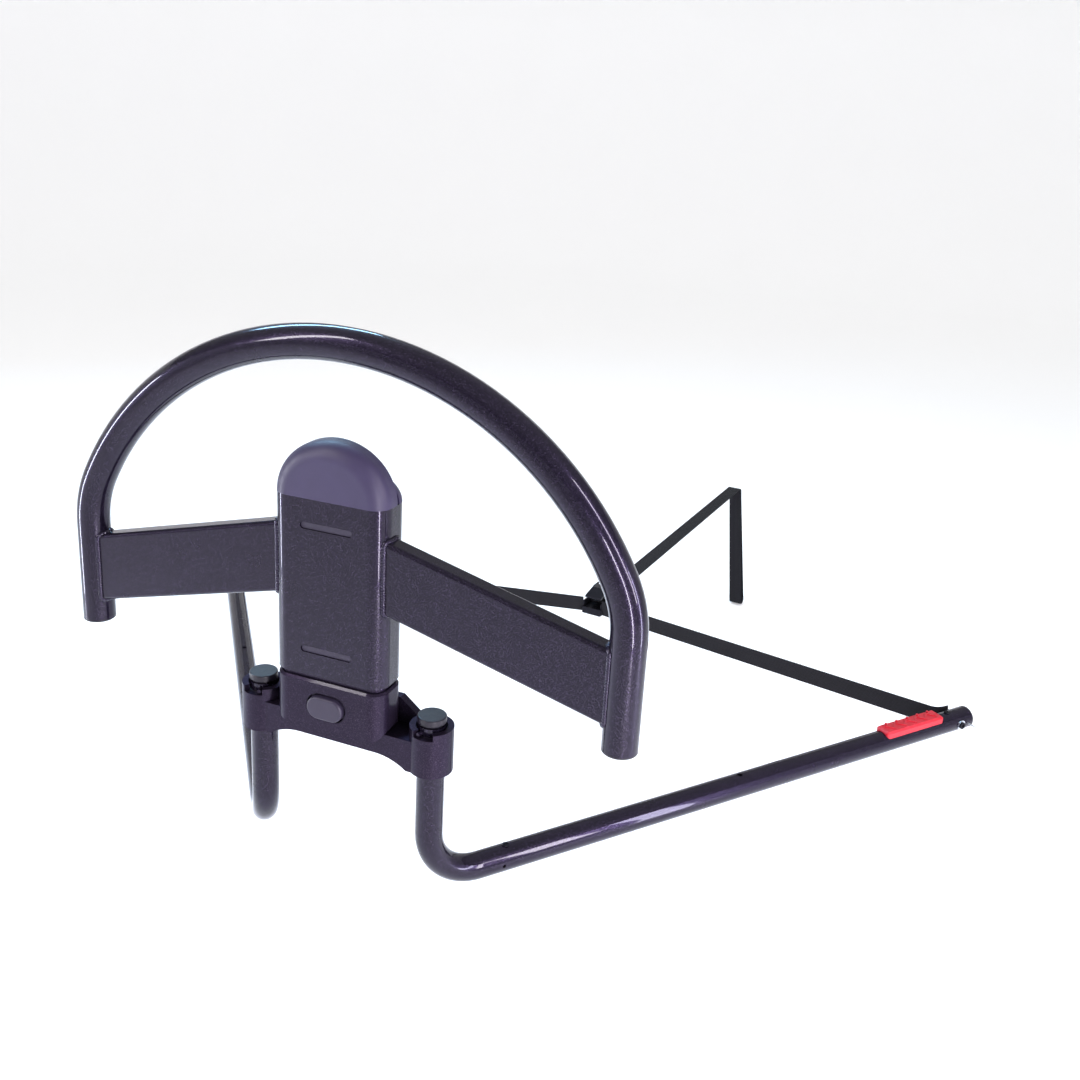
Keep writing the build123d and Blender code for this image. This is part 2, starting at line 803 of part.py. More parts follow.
    # Cotter pin: its eye is on the strap's side and its straight end stands out beyond the tube.
    eye = leg_r + eye_gap
    with BuildPart() as cotter_pin:
        with BuildLine() as wire_line:
            FilletPolyline(
                (*leg_point(side, cotter_at, leg_r + cotter_end), leg_r),
                (*leg_point(side, cotter_at, -eye), leg_r),
                (*leg_point(side, cotter_at, -eye - eye_start), leg_r + eye_rise),
                (*leg_point(side, cotter_at, -eye - eye_end), leg_r + eye_rise),
                (*leg_point(side, cotter_at, -eye - eye_end), leg_r - eye_fall),
                radius=eye_bend,
            )
        with BuildSketch(across_plane(side, cotter_at, leg_r + cotter_end)):
            Circle(wire_r)
        sweep(path=wire_line.wires()[0])
    save(cotter_pin, f"cotter_pin_{name}")

# ---- straps: flat woven webbing, and the cam buckle that joins them ----
strap_bend = 9.0
tab_end = 12.0  # beyond the bolt, along the leg
buckle_length = 62.0
buckle_near = 25.0  # how far the buckle reaches back from the straps' meeting point
buckle_inner = webbing_width + 2.0
buckle_corner = 2.0
cheek = 2.0
cheek_inset = 3.0  # at each end of the frame
cheek_height = 19.0
ear_over = 2.0  # metal over the axle
axle_over = 3.0  # the axle's end beyond a cheek
ear_length = 18.0
axle_r = 3.2
axle_z = 26.0
axle_along = 21.0
frame_floor = 10.5
bed_strap_z = frame_floor + 2 * fit + webbing_thickness / 2  # the long strap's middle
strap_meet = -20.0  # where the cross straps meet the buckle, back along it
bed_edge_z = 16.0  # the far edge's height
fold_bend = 4.9
loop_gap = 26.0
loop_bend = 11.0
loop_tail = 14.0  # the back ply's end, below the far edge

strap_run = math.dist(buckle_at, bed_edge_at)
strap_dir = (
    (bed_edge_at[0] - buckle_at[0]) / strap_run,
    (bed_edge_at[1] - buckle_at[1]) / strap_run,
)


def buckle_plane(along, across, z):
    """A level plane in the buckle: local x along the long strap, local y to its left."""
    return Plane(
        origin=(
            buckle_at[0] + along * strap_dir[0] - across * strap_dir[1],
            buckle_at[1] + along * strap_dir[1] + across * strap_dir[0],
            z,
        ),
        x_dir=(*strap_dir, 0),
        z_dir=(0, 0, 1),
    )


def axle_plane():
    """The plane square to the buckle's axle: local x forwards, local y up."""
    return Plane(
        origin=buckle_plane(axle_along, 0, axle_z).origin,
        x_dir=(*strap_dir, 0),
        z_dir=(strap_dir[1], -strap_dir[0], 0),
    )


cross_lengths = []
for side in (1, -1):
    inner = -leg_r - fit - webbing_thickness / 2
    cheek_side = buckle_plane(strap_meet, -side * (buckle_inner / 2 + cheek + fit), 0).origin
    with BuildPart() as cross_strap:
        with BuildSketch(Plane.XY.offset(fit)):
            with BuildLine() as strap_line:
                FilletPolyline(
                    leg_point(side, bolt_at + tab_end / 2, inner),
                    leg_point(side, bolt_at - tab_end, inner),
                    (cheek_side.X, cheek_side.Y),
                    radius=strap_bend,
                )
            trace(line_width=webbing_thickness)
        extrude(amount=webbing_width)
        with BuildSketch(across_plane(side, bolt_at, -leg_r)):
            Circle(bolt_r + fit)
        extrude(amount=-webbing_thickness - 2 * fit, mode=Mode.SUBTRACT)
    cross_lengths.append(strap_line.wires()[0].length)
    save(cross_strap, f"cross_strap_{side_name(side)}")

buckle_middle = buckle_length / 2 - buckle_near
with BuildPart() as buckle_frame:
    with BuildSketch(buckle_plane(buckle_middle, 0, fit)):
        RectangleRounded(buckle_length, buckle_inner + 2 * cheek, buckle_corner)
    extrude(amount=frame_floor)
    for across in ((buckle_inner + cheek) / 2, -(buckle_inner + cheek) / 2):
        with BuildSketch(buckle_plane(buckle_middle, across, fit)):
            Rectangle(buckle_length - 2 * cheek_inset, cheek)
        extrude(amount=cheek_height)
        with BuildSketch(buckle_plane(axle_along, across, fit)):
            Rectangle(ear_length, cheek)
        extrude(amount=axle_z + axle_r + ear_over)
    with BuildSketch(axle_plane()):
        Circle(axle_r)
    extrude(amount=buckle_inner, both=True, mode=Mode.SUBTRACT)
save(buckle_frame, "buckle_frame")

with BuildPart() as buckle_axle:
    with BuildSketch(axle_plane()):
        Circle(axle_r)
    extrude(amount=buckle_inner / 2 + cheek + axle_over, both=True)
save(buckle_axle, "buckle_axle")

cam_width = buckle_inner - 2 * fit
cam_r = 6.6
lobe_at = (2.4, -5.2)  # the cam's lobe, forwards and down from the axle
hub_r = 5.6
lever_length = 42.0
lever_rise = 7.0
lever_fall = 5.0
lever_thickness = 3.0
lever_step = 16.0

with BuildPart() as buckle_cam:
    with BuildSketch(axle_plane()):
        Circle(hub_r)
        with Locations(lobe_at):
            Circle(cam_r)
        with BuildLine():
            Polyline(
                (0, hub_r),
                (-lever_step, lever_rise),
                (-lever_length, lever_rise - lever_fall),
                (-lever_length, lever_rise - lever_fall - lever_thickness),
                (-lever_step, lever_rise - lever_thickness),
                (0, hub_r - 2 * lever_thickness),
                close=True,
            )
        make_face()
        Circle(axle_r + running, mode=Mode.SUBTRACT)
    extrude(amount=cam_width / 2, both=True)
save(buckle_cam, "buckle_cam")

# The long strap: level over the bed base, over its far edge, down and back up behind.
loop_slant = strap_dir[0] * -loop_bottom
edge_y = bed_edge_at[1] + fold_bend
with BuildPart() as bed_strap:
    with BuildLine() as bed_strap_line:
        FilletPolyline(
            (*buckle_at, bed_strap_z),
            (bed_edge_at[0], edge_y, bed_edge_z),
            (bed_edge_at[0] + loop_slant, edge_y, loop_bottom),
            (bed_edge_at[0] + loop_slant, edge_y + loop_gap, loop_bottom),
            (bed_edge_at[0], edge_y + loop_gap / 4, bed_edge_z - loop_tail),
            radius=[fold_bend, loop_bend, loop_bend],
        )
    strap_start = Plane(
        origin=(*buckle_at, bed_strap_z),
        x_dir=(strap_dir[1], -strap_dir[0], 0),
        z_dir=bed_strap_line.wires()[0] % 0,
    )
    with BuildSketch(strap_start):
        Rectangle(webbing_width, webbing_thickness)
    sweep(path=bed_strap_line.wires()[0])
save(bed_strap, "bed_strap")

print(f"cross straps: {cross_lengths[0]:.1f} and {cross_lengths[1]:.1f} mm long, bend {strap_bend} mm")
bed_length = bed_strap_line.wires()[0].length
print(f"bed strap: {bed_length:.1f} mm long, fold {fold_bend} mm, loop {loop_bend} mm")
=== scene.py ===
import json
import math

import bpy
from mathutils import Matrix, Quaternion, Vector


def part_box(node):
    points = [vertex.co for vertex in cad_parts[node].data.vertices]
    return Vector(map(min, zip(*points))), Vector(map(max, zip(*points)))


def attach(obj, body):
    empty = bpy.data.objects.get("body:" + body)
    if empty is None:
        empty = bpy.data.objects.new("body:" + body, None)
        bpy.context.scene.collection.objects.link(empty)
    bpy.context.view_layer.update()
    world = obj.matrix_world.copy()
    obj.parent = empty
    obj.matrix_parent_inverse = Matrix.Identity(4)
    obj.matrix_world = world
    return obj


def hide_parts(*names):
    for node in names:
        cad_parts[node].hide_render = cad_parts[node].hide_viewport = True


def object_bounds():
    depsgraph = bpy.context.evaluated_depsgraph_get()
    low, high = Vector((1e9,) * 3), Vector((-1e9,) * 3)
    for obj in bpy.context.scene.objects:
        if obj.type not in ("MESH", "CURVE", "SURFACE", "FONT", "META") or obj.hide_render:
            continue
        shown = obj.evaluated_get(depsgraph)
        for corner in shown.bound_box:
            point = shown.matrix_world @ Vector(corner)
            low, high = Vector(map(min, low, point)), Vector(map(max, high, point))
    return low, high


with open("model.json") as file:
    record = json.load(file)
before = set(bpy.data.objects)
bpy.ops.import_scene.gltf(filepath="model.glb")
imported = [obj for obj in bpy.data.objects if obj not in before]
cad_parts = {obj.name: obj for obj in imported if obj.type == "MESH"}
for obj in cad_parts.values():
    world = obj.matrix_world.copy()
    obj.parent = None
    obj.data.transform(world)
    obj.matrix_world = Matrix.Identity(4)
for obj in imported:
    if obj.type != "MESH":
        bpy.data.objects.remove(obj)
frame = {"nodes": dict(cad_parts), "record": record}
cad_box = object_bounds()
nodes = frame["nodes"]

MM = 0.001


# ---------------------------------------------------------------- camera

def make_camera():
    """A camera in front of the rail and to its right, looking down and across at it."""
    azimuth = math.radians(22.234)  # its side of the rail, round from straight in front
    pitch = math.radians(17.225)
    roll = math.radians(-2.676)
    aim = Vector((
        -math.sin(azimuth) * math.cos(pitch),
        math.cos(azimuth) * math.cos(pitch),
        -math.sin(pitch),
    ))
    right = Quaternion(aim, roll) @ Vector((math.cos(azimuth), math.sin(azimuth), 0))
    up = right.cross(aim)
    data = bpy.data.cameras.new("camera")
    data.sensor_width = 36
    data.lens = 37.70
    data.shift_x = 0.037
    data.shift_y = -0.074
    data.clip_end = 60
    camera = bpy.data.objects.new("camera", data)
    camera.rotation_mode = "QUATERNION"
    camera.location = (0.4898, -0.8183, 0.7296)
    camera.rotation_quaternion = Matrix([right, up, -aim]).transposed().to_quaternion()
    bpy.context.scene.collection.objects.link(camera)
    bpy.context.scene.camera = camera


# ---------------------------------------------------------------- shader helpers

class Shader:
    """One material's node tree, with short ways to add and join its nodes."""

    def __init__(self, name):
        self.material = bpy.data.materials.new(name)
        self.material.use_nodes = True
        self.tree = self.material.node_tree
        self.surface = self.tree.nodes["Principled BSDF"]

    def add(self, kind, inputs=None, **settings):
        node = self.tree.nodes.new(kind)
        for key, value in settings.items():
            setattr(node, key, value)
        for key, value in (inputs or {}).items():
            if isinstance(value, bpy.types.NodeSocket):
                self.tree.links.new(value, node.inputs[key])
            else:
                node.inputs[key].default_value = value
        return node

    def set(self, **values):
        for key, value in values.items():
            socket = self.surface.inputs[key.replace("_", " ")]
            if isinstance(value, bpy.types.NodeSocket):
                self.tree.links.new(value, socket)
            else:
                socket.default_value = value

    def place(self):
        """The object's own coordinates, in metres."""
        return self.add("ShaderNodeTexCoord").outputs["Object"]

    def noise(self, scale, detail=3.0, roughness=0.5, where=None):
        node = self.add(
            "ShaderNodeTexNoise",
            {"Vector": where or self.place(), "Scale": scale, "Detail": detail, "Roughness": roughness},
        )
        return node.outputs["Fac"]

    def cells(self, scale, where=None):
        """A random value in each of many small cells."""
        node = self.add("ShaderNodeTexVoronoi", {"Vector": where or self.place(), "Scale": scale})
        return self.add("ShaderNodeSeparateColor", {"Color": node.outputs["Color"]}).outputs["Red"]

    def ramp(self, value, low, high, out_low=0.0, out_high=1.0):
        node = self.add(
            "ShaderNodeMapRange",
            {"Value": value, "From Min": low, "From Max": high, "To Min": out_low, "To Max": out_high},
        )
        return node.outputs["Result"]

    def mix(self, factor, first, second):
        node = self.add("ShaderNodeMix", data_type="RGBA")
        self.tree.links.new(factor, node.inputs["Factor"])
        for index, value in ((6, first), (7, second)):
            if isinstance(value, bpy.types.NodeSocket):
                self.tree.links.new(value, node.inputs[index])
            else:
                node.inputs[index].default_value = (*value, 1)
        return node.outputs[2]

    def math(self, operation, first, second):
        node = self.add("ShaderNodeMath", operation=operation)
        for index, value in ((0, first), (1, second)):
            if isinstance(value, bpy.types.NodeSocket):
                self.tree.links.new(value, node.inputs[index])
            else:
                node.inputs[index].default_value = value
        return node.outputs[0]

    def bump(self, height, strength, distance=0.0004):
        node = self.add("ShaderNodeBump", {"Height": height, "Strength": strength, "Distance": distance})
        self.tree.links.new(node.outputs["Normal"], self.surface.inputs["Normal"])


# ---------------------------------------------------------------- materials

def metallic_coat(name, deep, glint, roughness, peel, gloss=0.9):
    """Powder coat: a near-black aubergine with fine metal flakes under a clear gloss."""
    shader = Shader(name)
    coarse = shader.ramp(shader.cells(1300), 0.85, 1.0)
    fine = shader.ramp(shader.cells(2900), 0.70, 1.0)
    glitter = shader.math("MULTIPLY", shader.math("ADD", coarse, fine), 0.09)
    cloud = shader.ramp(shader.noise(5, detail=3), 0.3, 0.7)
    tinted = shader.mix(cloud, deep, [1.25 * c for c in deep])
    rub = shader.ramp(shader.noise(38, detail=6, roughness=0.6), 0.62, 0.80)
    shader.set(
        Base_Color=shader.mix(glitter, tinted, glint),
        Metallic=0.6,
        Roughness=shader.ramp(rub, 0.0, 1.0, roughness, roughness + 0.07),
        Specular_IOR_Level=0.15,
        Specular_Tint=(0.30, 0.24, 0.42, 1),
        Coat_Weight=gloss,
        Coat_IOR=1.27,
        Coat_Roughness=0.045,
    )
    shader.bump(shader.noise(330, detail=2), peel, 0.0003)
    return shader.material


def moulded_plastic(name, color, roughness, grain):
    """Moulded plastic with a fine spark-eroded grain."""
    shader = Shader(name)
    worn = shader.ramp(shader.noise(25, detail=5), 0.35, 0.75)
    shader.set(
        Base_Color=shader.mix(worn, color, [1.25 * c for c in color]),
        Roughness=shader.ramp(
            shader.noise(180, detail=3), 0.3, 0.7, roughness - 0.06, roughness + 0.06
        ),
        Specular_IOR_Level=0.3,
    )
    shader.bump(shader.noise(1500, detail=2, roughness=0.7), grain, 0.0002)
    return shader.material


def zinc_steel():
    """Bright zinc plate, slightly blue and clouded."""
    shader = Shader("zinc_steel")
    cloud = shader.noise(140, detail=5)
    shader.set(
        Base_Color=shader.mix(shader.ramp(cloud, 0.3, 0.7), (0.50, 0.54, 0.60), (0.72, 0.74, 0.78)),
        Metallic=1.0,
        Roughness=shader.ramp(shader.noise(400, detail=4), 0.3, 0.7, 0.22, 0.42),
    )
    shader.bump(shader.noise(900), 0.12, 0.0002)
    return shader.material


def red_rubber():
    """Soft red rubber, dusty on its high spots."""
    shader = Shader("red_rubber")
    dust = shader.ramp(shader.noise(110, detail=6, roughness=0.65), 0.45, 0.75)
    shader.set(
        Base_Color=shader.mix(dust, (0.38, 0.006, 0.016), (0.48, 0.014, 0.030)),
        Roughness=shader.ramp(dust, 0.0, 1.0, 0.42, 0.62),
        Specular_IOR_Level=0.4,
    )
    shader.bump(shader.noise(1300, detail=3), 0.3, 0.0003)
    return shader.material


RIB_PITCH = 1.6 * MM
YARNS = 14  # across the strap
CHEVRONS = 6.0


def webbing():
    """Black woven webbing: a herringbone of ribs that run across the strap, with painted shade in the
    weave's hollows.
    """
    shader = Shader("webbing")
    uv = shader.add("ShaderNodeUVMap", uv_map="UVMap").outputs["UV"]
    parts = shader.add("ShaderNodeSeparateXYZ", {"Vector": uv})
    along, across = parts.outputs["X"], parts.outputs["Y"]
    slant = shader.math("PINGPONG", shader.math("MULTIPLY", across, CHEVRONS), 1.0)
    run = shader.math("MULTIPLY", along, 2 * math.pi / RIB_PITCH)
    rib = shader.math("SINE", shader.math("ADD", run, shader.math("MULTIPLY", slant, 5.0)), 0.0)
    yarn = shader.math("SINE", shader.math("MULTIPLY", across, 2 * math.pi * YARNS), 0.0)
    weave = shader.math("MULTIPLY", shader.math("ADD", rib, 1.6), shader.math("ADD", yarn, 1.6))
    fuzz = shader.noise(2400, detail=3)
    shader.set(
        # Painted shade: the colour follows the weave's height, darker in its hollows and lighter on its
        # raised ribs.
        Base_Color=shader.mix(
            shader.ramp(weave, 0.3, 6.0), (0.003, 0.003, 0.004), (0.014, 0.013, 0.017)
        ),
        Roughness=shader.ramp(fuzz, 0.3, 0.7, 0.62, 0.85),
        Specular_IOR_Level=0.12,
        Sheen_Weight=0.02,
        Sheen_Roughness=0.5,
    )
    shader.bump(shader.math("ADD", weave, fuzz), 0.5, 0.0003)
    return shader.material


materials = {
    "coat": metallic_coat(
        "coat",
        deep=(0.0056, 0.0040, 0.0100),
        glint=(0.28, 0.22, 0.40),
        roughness=0.27,
        peel=0.10,
    ),
    "satin_coat": metallic_coat(
        "satin_coat",
        deep=(0.010, 0.007, 0.015),
        glint=(0.22, 0.17, 0.28),
        roughness=0.40,
        peel=0.22,
        gloss=0.35,
    ),
    "weld_coat": metallic_coat(
        "weld_coat",
        deep=(0.013, 0.010, 0.022),
        glint=(0.34, 0.30, 0.44),
        roughness=0.26,
        peel=0.60,
        gloss=0.9,
    ),
    "purple_plastic": moulded_plastic("purple_plastic", (0.026, 0.020, 0.050), 0.46, 0.35),
    "grey_plastic": moulded_plastic("grey_plastic", (0.018, 0.014, 0.028), 0.46, 0.30),
    "black_plastic": moulded_plastic("black_plastic", (0.007, 0.006, 0.010), 0.40, 0.20),
    "black_metal": metallic_coat(
        "black_metal",
        deep=(0.006, 0.006, 0.008),
        glint=(0.08, 0.08, 0.10),
        roughness=0.36,
        peel=0.20,
        gloss=0.3,
    ),
    "pivot_plastic": moulded_plastic("pivot_plastic", (0.008, 0.006, 0.012), 0.36, 0.30),
    "zinc_steel": zinc_steel(),
    "red_rubber": red_rubber(),
    "webbing": webbing(),
}


def dress_frame():
    """Gives each CAD node its slot's material, and the pivot plugs a darker plastic of their own."""
    for part in frame["record"]["subparts"]:
        mesh = nodes[part["node"]].data
        mesh.materials.clear()
        mesh.materials.append(materials[part["material_slot"]])
    for side in ("left", "right"):
        nodes[f"pivot_plug_{side}"].data.materials[0] = materials["pivot_plastic"]


# ---------------------------------------------------------------- straps

STRAP_WIDTH = 25 * MM
STRAP_THICKNESS = 1.8 * MM
EDGE = 0.6 * MM  # the rounding of a selvedge


def spline_points(name, points):
    """Points along the NURBS spline that has these control points."""
    curve = bpy.data.curves.new(name, "CURVE")
    curve.dimensions = "3D"
    curve.resolution_u = 24
    spline = curve.splines.new("NURBS")
    spline.points.add(len(points) - 1)
    for control, point in zip(spline.points, points):
        control.co = (*point, 1)
    spline.order_u = 3
    spline.use_endpoint_u = True
    holder = bpy.data.objects.new(name, curve)
    bpy.context.scene.collection.objects.link(holder)
    bpy.context.view_layer.update()
    evaluated = holder.evaluated_get(bpy.context.evaluated_depsgraph_get())
    mesh = bpy.data.meshes.new_from_object(evaluated)
    line = [vertex.co.copy() for vertex in mesh.vertices]
    bpy.data.objects.remove(holder)
    bpy.data.meshes.remove(mesh)
    return line


def even_points(line, step):
    """The same line with points at even steps along it."""
    travelled = [0.0]
    for a, b in zip(line, line[1:]):
        travelled.append(travelled[-1] + (b - a).length)
    count = max(2, round(travelled[-1] / step))
    result = []
    segment = 0
    for k in range(count + 1):
        target = travelled[-1] * k / count
        while segment < len(line) - 2 and travelled[segment + 1] < target:
            segment += 1
        length = travelled[segment + 1] - travelled[segment]
        result.append(line[segment].lerp(line[segment + 1], (target - travelled[segment]) / length))
    return result


def section():
    """The webbing's cross-section, as (across, through) pairs, with rounded selvedges."""
    half, thin = STRAP_WIDTH / 2, STRAP_THICKNESS / 2
    return [
        (-half, -thin / 3), (-half + EDGE, -thin), (half - EDGE, -thin), (half, -thin / 3),
        (half, thin / 3), (half - EDGE, thin), (-half + EDGE, thin), (-half, thin / 3),
    ]


def band(name, line, lean):
    """A strap along a line. lean(t) is the direction of its width, t from 0 to 1 along it."""
    shape = section()
    vertices, faces, uvs = [], [], []
    travelled = 0.0
    distances = []
    for k, point in enumerate(line):
        before, after = line[max(k - 1, 0)], line[min(k + 1, len(line) - 1)]
        along = (after - before).normalized()
        if k:
            travelled += (point - line[k - 1]).length
        distances.append(travelled)
        wide = lean(k / (len(line) - 1))
        wide = (wide - along * wide.dot(along)).normalized()
        through = along.cross(wide)
        vertices += [point + wide * a + through * b for a, b in shape]
    ring = len(shape)
    for k in range(len(line) - 1):
        for j in range(ring):
            n = (j + 1) % ring
            faces.append((k * ring + j, k * ring + n, (k + 1) * ring + n, (k + 1) * ring + j))
            across = [shape[i][0] / STRAP_WIDTH + 0.5 for i in (j, n, n, j)]
            length = [distances[k], distances[k], distances[k + 1], distances[k + 1]]
            uvs += list(zip(length, across))
    last = (len(line) - 1) * ring
    faces.append(tuple(reversed(range(ring))))
    faces.append(tuple(range(last, last + ring)))
    uvs += [(0, 0)] * (2 * ring)
    mesh = bpy.data.meshes.new(name)
    mesh.from_pydata(vertices, [], faces)
    layer = mesh.uv_layers.new(name="UVMap")
    for loop, uv in zip(layer.data, uvs):
        loop.uv = uv
    mesh.materials.append(materials["webbing"])
    strap = bpy.data.objects.new(name, mesh)
    bpy.context.scene.collection.objects.link(strap)
    return strap


def turned(degrees, axis):
    """A lean that starts upright and turns by this much about an axis."""
    def lean(t):
        return Quaternion(axis, math.radians(degrees * t)) @ Vector((0, 0, 1))
    return lean


LEG_SPLAY = math.radians(38.5)
LEG_R = 13.5 * MM
BARREL = Vector((92 * MM, 18.9 * MM, 0))
BOLT_AT = 736 * MM  # along the leg
TAB = 12 * MM  # the strap's end beyond the bolt
GAP = 0.3 * MM
BUCKLE = Vector((33 * MM, 725 * MM, 0))
BED_EDGE = Vector((107 * MM, 1385 * MM, 0))
BED_WAY = (BED_EDGE - BUCKLE).normalized()
BED_SIDE = Vector((BED_WAY.y, -BED_WAY.x, 0))
STRAP_MEET = -20 * MM  # where the cross straps meet the buckle, along it
STRAP_TILT = 10  # degrees that a cross strap turns on its way to the buckle
CHEEK_OUT = 15.8 * MM
CROSS_Z = GAP + STRAP_WIDTH / 2
BUCKLE_STRAP_Z = 12.0 * MM
BED_EDGE_Z = 16 * MM
FOLD = 4.9 * MM
LOOP_BOTTOM = -236 * MM
LOOP_GAP = 26 * MM
LOOP_TAIL = 14 * MM  # the back ply's end, below the far edge


def leg_point(side, along, across):
    """A point beside a leg, this far along it from its barrel and this far outwards."""
    out = Vector((math.sin(LEG_SPLAY), math.cos(LEG_SPLAY), 0)) * along
    beside = Vector((math.cos(LEG_SPLAY), -math.sin(LEG_SPLAY), 0)) * across
    point = BARREL + out + beside
    return Vector((side * point.x, point.y, CROSS_Z))


def make_cross_strap(side, word):
    """A taut strap from a leg's end bolt to the buckle, on edge at the bolt."""
    inner = -LEG_R - GAP - STRAP_THICKNESS / 2
    start = leg_point(side, BOLT_AT + TAB / 2, inner)
    corner = leg_point(side, BOLT_AT - TAB, inner)
    end = BUCKLE + BED_WAY * STRAP_MEET + BED_SIDE * side * CHEEK_OUT + Vector((0, 0, CROSS_Z))
    way = (end - corner).normalized()
    points = [start, corner, corner + way * 20 * MM, end - way * 50 * MM, end]
    line = even_points(spline_points(f"cross_line_{word}", points), 4 * MM)
    strap = band(f"webbing_{word}", line, turned(-side * STRAP_TILT, way))
    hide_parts(f"cross_strap_{word}")
    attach(strap, "base")


def make_bed_strap():
    """The long strap over the bed base, round its far edge and hanging in a flat loop."""
    slant = -LOOP_BOTTOM * BED_WAY.x
    edge_y = BED_EDGE.y + FOLD
    start = Vector((BUCKLE.x, BUCKLE.y, BUCKLE_STRAP_Z))
    fold = Vector((BED_EDGE.x, edge_y, BED_EDGE_Z))
    low = Vector((BED_EDGE.x + slant, edge_y, LOOP_BOTTOM))
    low_back = low + Vector((0, LOOP_GAP, 0))
    end = Vector((BED_EDGE.x, edge_y + LOOP_GAP / 4, BED_EDGE_Z - LOOP_TAIL))
    points = [
        start,
        fold.lerp(start, 0.02),
        fold,
        fold.lerp(low, 0.05),
        low.lerp(fold, 0.05),
        low,
        low_back,
        low_back.lerp(end, 0.06),
        end,
    ]
    line = even_points(spline_points("bed_strap_line", points), 3 * MM)
    strap = band("bed_webbing", line, lambda t: BED_SIDE)
    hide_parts("bed_strap")
    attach(strap, "base")


# ---------------------------------------------------------------- welds

BEAD = 2.5 * MM
RIPPLE = 2.6 * MM  # one ripple's length along a bead
HOOP_R = 15.875 * MM
COLUMN_CORNER = 16 * MM
BAR_HALF_Y = 10 * MM
BAR_HALF_H = 33.75 * MM
BAR_CORNER = 4 * MM
BAR_Z_COLUMN = 331.2 * MM  # the crossbar's middle at the column's side
BAR_Z_LEG = 274.5 * MM  # and at the hoop's leg
COLUMN_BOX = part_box("column_tube")
HOOP_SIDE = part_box("hoop_tube")[1].x  # the right side of the hoop's right leg
BEAD_STEP = BAR_HALF_H / 40  # between the bead's rings
BEAD_SIDES = 8


def bar_outline():
    """Points round a crossbar's rounded section, as (y, height) pairs."""
    flat_y, flat_h = BAR_HALF_Y - BAR_CORNER, BAR_HALF_H - BAR_CORNER
    corners = [
        (flat_y, flat_h, 0),
        (-flat_y, flat_h, 90),
        (-flat_y, -flat_h, 180),
        (flat_y, -flat_h, 270),
    ]
    loop = []
    for y, h, turn in corners:
        for k in range(6):
            angle = math.radians(turn + 18 * k)
            loop.append(Vector((y + BAR_CORNER * math.cos(angle), h + BAR_CORNER * math.sin(angle), 0)))
    return even_points(loop + [loop[0]], BEAD_STEP)


def weld_bead(name, side, surface_x):
    """A rippled bead round a crossbar's end. surface_x(y) is how far out the metal it meets stands."""
    near_x, far_x = COLUMN_BOX[1].x, HOOP_SIDE - HOOP_R
    fall = (BAR_Z_COLUMN - BAR_Z_LEG) / (far_x - near_x)
    spine = []
    for point in bar_outline():
        x = surface_x(point.x)
        z = BAR_Z_COLUMN - fall * (x - near_x) + point.y * math.sqrt(1 + fall * fall)
        spine.append(Vector((side * x, point.x, z)))
    middle = sum(spine, Vector()) / len(spine)
    vertices, faces = [], []
    travelled = 0.0
    for k, point in enumerate(spine):
        before, after = spine[k - 1], spine[(k + 1) % len(spine)]
        along = (after - before).normalized()
        outward = point - middle
        outward = (outward - along * outward.dot(along)).normalized()
        through = along.cross(outward)
        travelled += (point - before).length if k else 0
        swell = BEAD * (0.8 + 0.4 * abs(math.sin(math.pi * travelled / RIPPLE)))
        for j in range(BEAD_SIDES):
            angle = 2 * math.pi * j / BEAD_SIDES
            spoke = outward * math.cos(angle) + through * math.sin(angle)
            vertices.append(point + spoke * swell)
    for k in range(len(spine)):
        for j in range(BEAD_SIDES):
            n = (j + 1) % BEAD_SIDES
            here, up = k * BEAD_SIDES, (k + 1) % len(spine) * BEAD_SIDES
            faces.append((here + j, here + n, up + n, up + j))
    mesh = bpy.data.meshes.new(name)
    mesh.from_pydata(vertices, [], faces)
    mesh.shade_smooth()
    mesh.materials.append(materials["weld_coat"])
    bead = bpy.data.objects.new(name, mesh)
    bpy.context.scene.collection.objects.link(bead)
    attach(bead, "handle")
    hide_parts("weld_beads")


def column_surface(y):
    """How far out the column's side stands, at this y."""
    low, high = COLUMN_BOX
    beyond = max(0, low.y + COLUMN_CORNER - y)
    return high.x - COLUMN_CORNER + math.sqrt(max(0, COLUMN_CORNER**2 - beyond**2))


def hoop_surface(y):
    """Where the near side of the hoop's leg stands, at this y."""
    return HOOP_SIDE - HOOP_R - math.sqrt(HOOP_R**2 - y * y)


def make_welds():
    for side, word in ((1, "right"), (-1, "left")):
        weld_bead(f"weld_column_{word}", side, column_surface)
        weld_bead(f"weld_hoop_{word}", side, hoop_surface)


# ---------------------------------------------------------------- floor and light

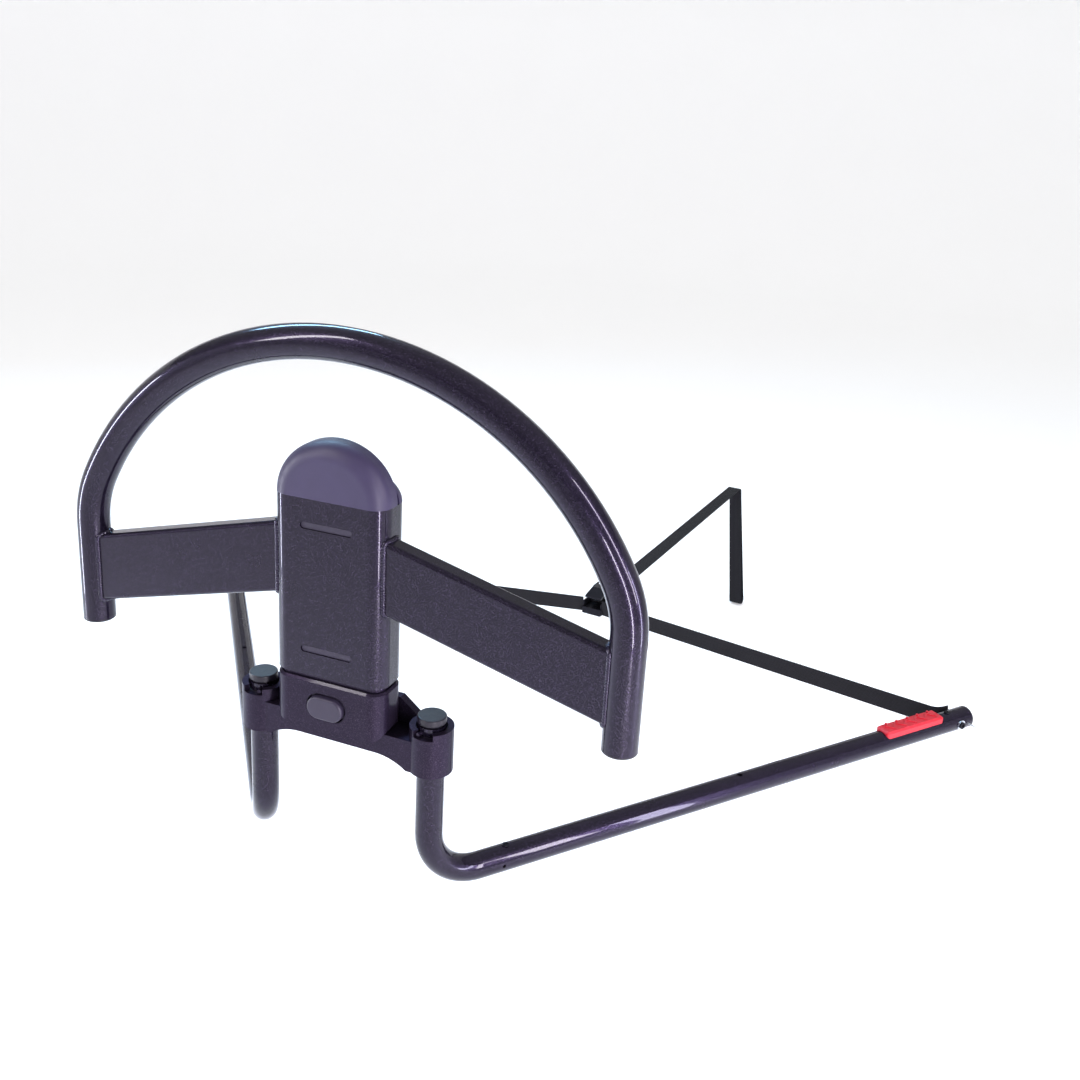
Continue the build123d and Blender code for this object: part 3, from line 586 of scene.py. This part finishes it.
def make_floor():
    """A round pale floor that turns up into a low wall."""
    level = cad_box[0].z - 2 * MM
    reach, bend, top = 6.0, 1.5, 1.6
    profile = [(0.0, 0.0), (reach, 0.0)]
    steps = 12
    for k in range(1, steps + 1):
        angle = math.pi / 2 * k / steps
        profile.append((reach + bend * math.sin(angle), bend * (1 - math.cos(angle))))
    profile.append((reach + bend, bend + top))
    sides = 96
    rings = profile[1:]
    vertices = [(0, 0, level)]
    for radius, height in rings:
        for j in range(sides):
            turn = 2 * math.pi * j / sides
            vertices.append((radius * math.cos(turn), radius * math.sin(turn), level + height))
    faces = [(0, 1 + j, 1 + (j + 1) % sides) for j in range(sides)]
    for k in range(len(rings) - 1):
        for j in range(sides):
            low, n = 1 + k * sides, (j + 1) % sides
            faces.append((low + j, low + sides + j, low + sides + n, low + n))
    mesh = bpy.data.meshes.new("floor")
    mesh.from_pydata(vertices, [], faces)
    mesh.shade_smooth()
    shader = Shader("floor")
    mottle = shader.mix(shader.noise(2.5, detail=2), (0.93, 0.93, 0.93), (0.95, 0.95, 0.95))
    shader.set(Base_Color=mottle, Roughness=0.85, Specular_IOR_Level=0.2)
    shader.set(Emission_Color=(1, 1, 1, 1), Emission_Strength=0.14)  # a backdrop lit from behind
    mesh.materials.append(shader.material)
    floor = bpy.data.objects.new("floor", mesh)
    bpy.context.scene.collection.objects.link(floor)


def soft_light(name, place, aim, size, watts, color):
    """A rectangular lamp, size wide and high in metres, that the camera itself doesn't see."""
    data = bpy.data.lights.new(name, "AREA")
    data.shape = "RECTANGLE"
    data.size, data.size_y = size
    data.energy = watts
    data.color = color
    lamp = bpy.data.objects.new(name, data)
    lamp.location = place
    lamp.rotation_mode = "QUATERNION"
    lamp.rotation_quaternion = (Vector(aim) - Vector(place)).to_track_quat("-Z", "Y")
    lamp.visible_camera = False
    bpy.context.scene.collection.objects.link(lamp)


def make_light():
    """A bright sky overhead, dim at the horizon, three soft boxes above and three tall strips."""
    world = bpy.data.worlds.new("studio")
    bpy.context.scene.world = world
    world.use_nodes = True
    # The plain transform keeps a white floor white and the dark coat dark.
    bpy.context.scene.view_settings.view_transform = "Standard"
    tree = world.node_tree
    # The sky's strength follows the height of the direction it is seen in.
    way = tree.nodes.new("ShaderNodeTexCoord")
    parts = tree.nodes.new("ShaderNodeSeparateXYZ")
    height = tree.nodes.new("ShaderNodeMapRange")
    tree.links.new(way.outputs["Generated"], parts.inputs[0])
    tree.links.new(parts.outputs["Z"], height.inputs["Value"])
    for name, value in (("From Min", 0.15), ("From Max", 0.75), ("To Min", 0.08), ("To Max", 0.80)):
        height.inputs[name].default_value = value
    tree.links.new(height.outputs["Result"], tree.nodes["Background"].inputs["Strength"])
    tree.nodes["Background"].inputs["Color"].default_value = (1, 1, 1, 1)
    soft_light("key", (-1.5, -1.7, 1.9), (0, 0, 0.3), (0.22, 1.9), 52, (1, 0.97, 0.98))
    soft_light("rim", (-1.3, 1.2, 1.9), (-0.1, 0, 0.45), (1.4, 0.25), 42, (0.40, 0.72, 1))
    soft_light("side", (2.3, -0.3, 1.2), (0, 0, 0.3), (0.22, 1.9), 52, (0.97, 0.92, 1))
    # Tall narrow boxes standing on the floor, which the upright edges mirror as bright lines.
    soft_light("front_strip", (1.02, -0.86, 0.25), (0, 0, 0.25), (0.10, 0.95), 17, (0.96, 0.92, 1))
    soft_light("left_strip", (-1.30, -0.42, 0.25), (0, 0, 0.25), (0.10, 0.95), 15, (0.86, 0.90, 1))
    soft_light("right_strip", (1.45, 0.10, 0.25), (0, 0, 0.25), (0.12, 0.95), 12, (0.80, 0.78, 1))


make_camera()
dress_frame()
make_cross_strap(1, "right")
make_cross_strap(-1, "left")
make_bed_strap()
make_welds()
make_floor()
make_light()
